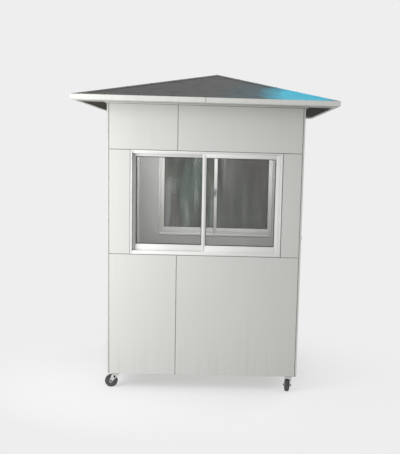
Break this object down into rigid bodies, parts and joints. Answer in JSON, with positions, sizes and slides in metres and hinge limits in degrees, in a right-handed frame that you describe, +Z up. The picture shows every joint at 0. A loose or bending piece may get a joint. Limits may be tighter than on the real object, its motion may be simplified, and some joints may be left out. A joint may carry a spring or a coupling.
{
  "type": "guard booth",
  "caption": "Square guard booth with clad sandwich walls, sliding windows, a side door and a low hipped roof, standing on swivel casters.",
  "frame": {"origin": "on the ground under the middle of the roof, which is also the middle of the bounding box's bottom", "axes": "+Z up, the front wall faces -Y, +X to the right of someone who stands in front of it"},
  "size_m": [1.96, 1.96, 2.524],
  "materials": {
    "zinc_steel": "satin",
    "tyre_rubber": "matte",
    "frame_steel": "satin",
    "floor_board": "matte",
    "inner_lining": "satin",
    "cladding": "satin",
    "corner_angle": "satin",
    "glass": "polished",
    "window_frame": "powder coated white",
    "door_paint": "powder coated white",
    "door_fittings": "satin",
    "soffit": "matte",
    "fascia": "satin",
    "roof_sheet": "satin"
  },
  "bodies": {
    "booth": {"base_cross_beams": "frame_steel", "base_side_beams": "frame_steel", "floor_board": "floor_board", "front_wall": "inner_lining", "back_wall": "inner_lining", "left_wall": "inner_lining", "right_wall_front": "inner_lining", "right_wall_rear": "inner_lining", "right_wall_head": "inner_lining", "corner_angles": "corner_angle", "front_lower_left_panel": "cladding", "front_lower_right_panel": "cladding", "front_left_pier_panel": "cladding", "front_right_pier_panel": "cladding", "front_upper_left_panel": "cladding", "front_upper_right_panel": "cladding", "left_cladding": "cladding", "right_cladding": "cladding", "back_cladding": "cladding", "front_window_frame": "window_frame", "front_window_inner_sash": "window_frame", "front_window_outer_sash": "window_frame", "front_window_glass": "glass", "left_window_frame": "window_frame", "left_window_inner_sash": "window_frame", "left_window_outer_sash": "window_frame", "left_window_glass": "glass", "back_window_frame": "window_frame", "back_window_inner_sash": "window_frame", "back_window_outer_sash": "window_frame", "back_window_glass": "glass", "door_frame": "door_paint", "door_leaf": "door_paint", "door_glass": "glass", "door_handles": "door_fittings", "door_hinges": "door_fittings", "ceiling": "inner_lining", "front_and_back_soffit": "soffit", "side_soffits": "soffit", "front_fascia": "fascia", "back_fascia": "fascia", "side_fascias": "fascia", "roof_sheet": "roof_sheet", "front_left_caster_plate": "zinc_steel", "front_right_caster_plate": "zinc_steel", "back_left_caster_plate": "zinc_steel", "back_right_caster_plate": "zinc_steel"},
    "front_left_caster_fork": {"front_left_fork": "zinc_steel"},
    "front_left_caster_wheel": {"front_left_wheel": "tyre_rubber"},
    "front_right_caster_fork": {"front_right_fork": "zinc_steel"},
    "front_right_caster_wheel": {"front_right_wheel": "tyre_rubber"},
    "back_left_caster_fork": {"back_left_fork": "zinc_steel"},
    "back_left_caster_wheel": {"back_left_wheel": "tyre_rubber"},
    "back_right_caster_fork": {"back_right_fork": "zinc_steel"},
    "back_right_caster_wheel": {"back_right_wheel": "tyre_rubber"}
  },
  "joints": [
    {"name": "front_left_swivel", "type": "hinge", "parent": "booth", "child": "front_left_caster_fork", "pos_m": [-0.69, -0.69, 0.115], "axis": [0, 0, 1], "continuous": true},
    {"name": "front_left_roll", "type": "hinge", "parent": "front_left_caster_fork", "child": "front_left_caster_wheel", "pos_m": [-0.725, -0.69, 0.05], "axis": [0, -1, 0], "continuous": true},
    {"name": "front_right_swivel", "type": "hinge", "parent": "booth", "child": "front_right_caster_fork", "pos_m": [0.69, -0.69, 0.115], "axis": [0, 0, 1], "continuous": true},
    {"name": "front_right_roll", "type": "hinge", "parent": "front_right_caster_fork", "child": "front_right_caster_wheel", "pos_m": [0.68094, -0.72381, 0.05], "axis": [0.9659, -0.2588, 0], "continuous": true},
    {"name": "back_left_swivel", "type": "hinge", "parent": "booth", "child": "back_left_caster_fork", "pos_m": [-0.69, 0.69, 0.115], "axis": [0, 0, 1], "continuous": true},
    {"name": "back_left_roll", "type": "hinge", "parent": "back_left_caster_fork", "child": "back_left_caster_wheel", "pos_m": [-0.72289, 0.70197, 0.05], "axis": [-0.342, -0.9397, 0], "continuous": true},
    {"name": "back_right_swivel", "type": "hinge", "parent": "booth", "child": "back_right_caster_fork", "pos_m": [0.69, 0.69, 0.115], "axis": [0, 0, 1], "continuous": true},
    {"name": "back_right_roll", "type": "hinge", "parent": "back_right_caster_fork", "child": "back_right_caster_wheel", "pos_m": [0.6675, 0.66319, 0.05], "axis": [0.766, -0.6428, 0], "continuous": true}
  ]
}
